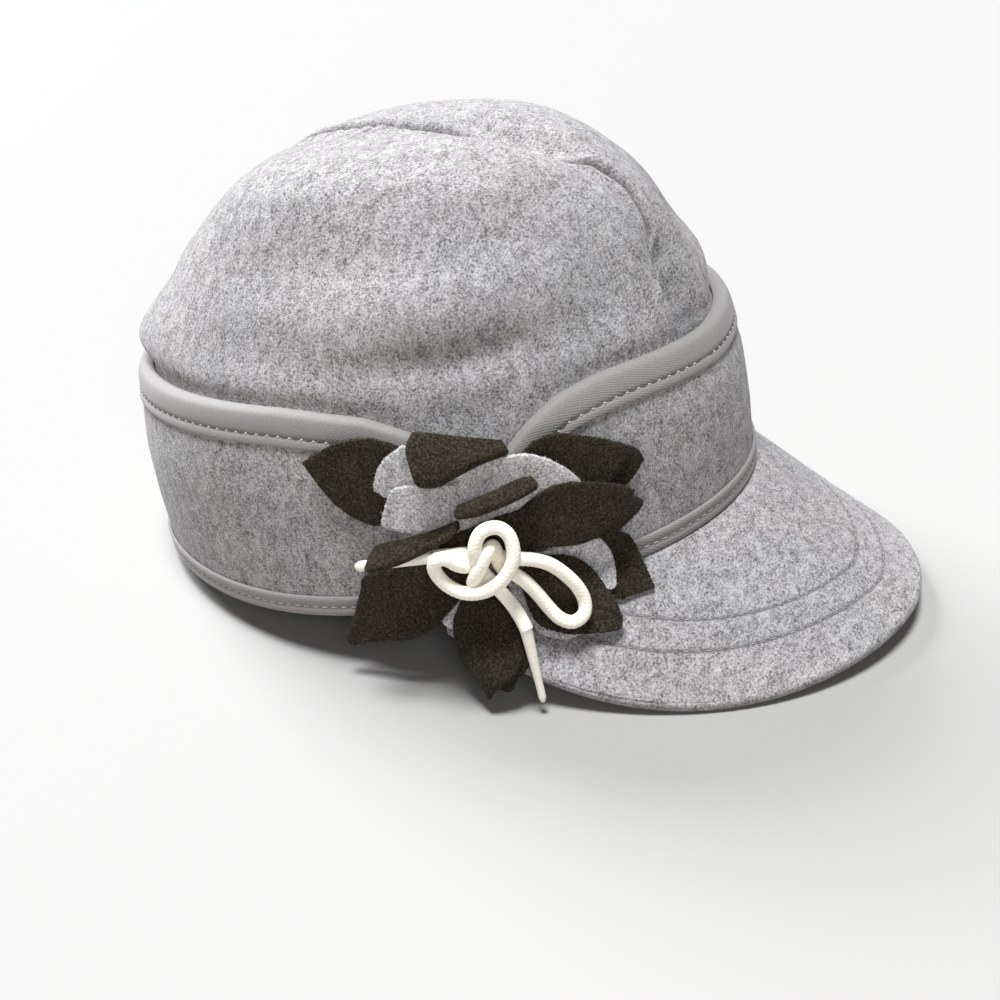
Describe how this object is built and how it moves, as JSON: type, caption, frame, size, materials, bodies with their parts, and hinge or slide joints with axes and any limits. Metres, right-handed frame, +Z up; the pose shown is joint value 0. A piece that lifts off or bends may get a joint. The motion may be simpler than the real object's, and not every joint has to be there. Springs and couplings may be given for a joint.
{
  "type": "earflap cap",
  "caption": "Grey wool felt cap with a folded-up ear band, bound edges, a stitched peak and a felt flower tied on with a lace bow.",
  "frame": {"origin": "middle of the cap's footprint, on the surface that it rests on", "axes": "+Z up, front of the cap and its peak towards -Y, the wearer's right side and the flower towards -X"},
  "size_m": [0.1976, 0.2696, 0.1425],
  "materials": {
    "felt_grey": "heather grey wool felt, dry and slightly napped",
    "tape_grey": "smooth plain-woven grey binding tape with a line of stitches",
    "petal_dark": "dark olive brown wool felt with fuzzy cut edges",
    "petal_grey": "mottled grey wool felt with fuzzy cut edges",
    "lace_cream": "waxed cream cotton lace, round braid"
  },
  "bodies": {
    "root": {"crown_half_right": "felt_grey", "crown_half_left": "felt_grey", "earband": "felt_grey", "binding_top": "tape_grey", "binding_bottom": "tape_grey", "visor": "felt_grey", "petal_dark_left": "petal_dark", "petal_dark_top_right_back": "petal_dark", "petal_dark_side": "petal_dark", "petal_dark_top_right": "petal_dark", "petal_dark_lower_left": "petal_dark", "petal_dark_bottom_back": "petal_dark", "petal_dark_right_back": "petal_dark", "petal_dark_bottom": "petal_dark", "petal_dark_lower_right": "petal_dark", "petal_dark_right": "petal_dark", "petal_dark_top_fold": "petal_dark", "petal_dark_curl": "petal_dark", "petal_dark_strip": "petal_dark", "petal_grey_small": "petal_grey", "petal_grey_upper_left": "petal_grey", "petal_grey_lower_side": "petal_grey", "petal_grey_right_side": "petal_grey", "petal_grey_left": "petal_grey", "petal_grey_arch": "petal_grey", "lace_loop_left": "lace_cream", "lace_loop_right": "lace_cream", "lace_tail_left": "lace_cream", "lace_tail_right": "lace_cream", "lace_knot": "lace_cream", "lace_tip_left": "lace_cream", "lace_tip_right": "lace_cream"}
  },
  "joints": []
}
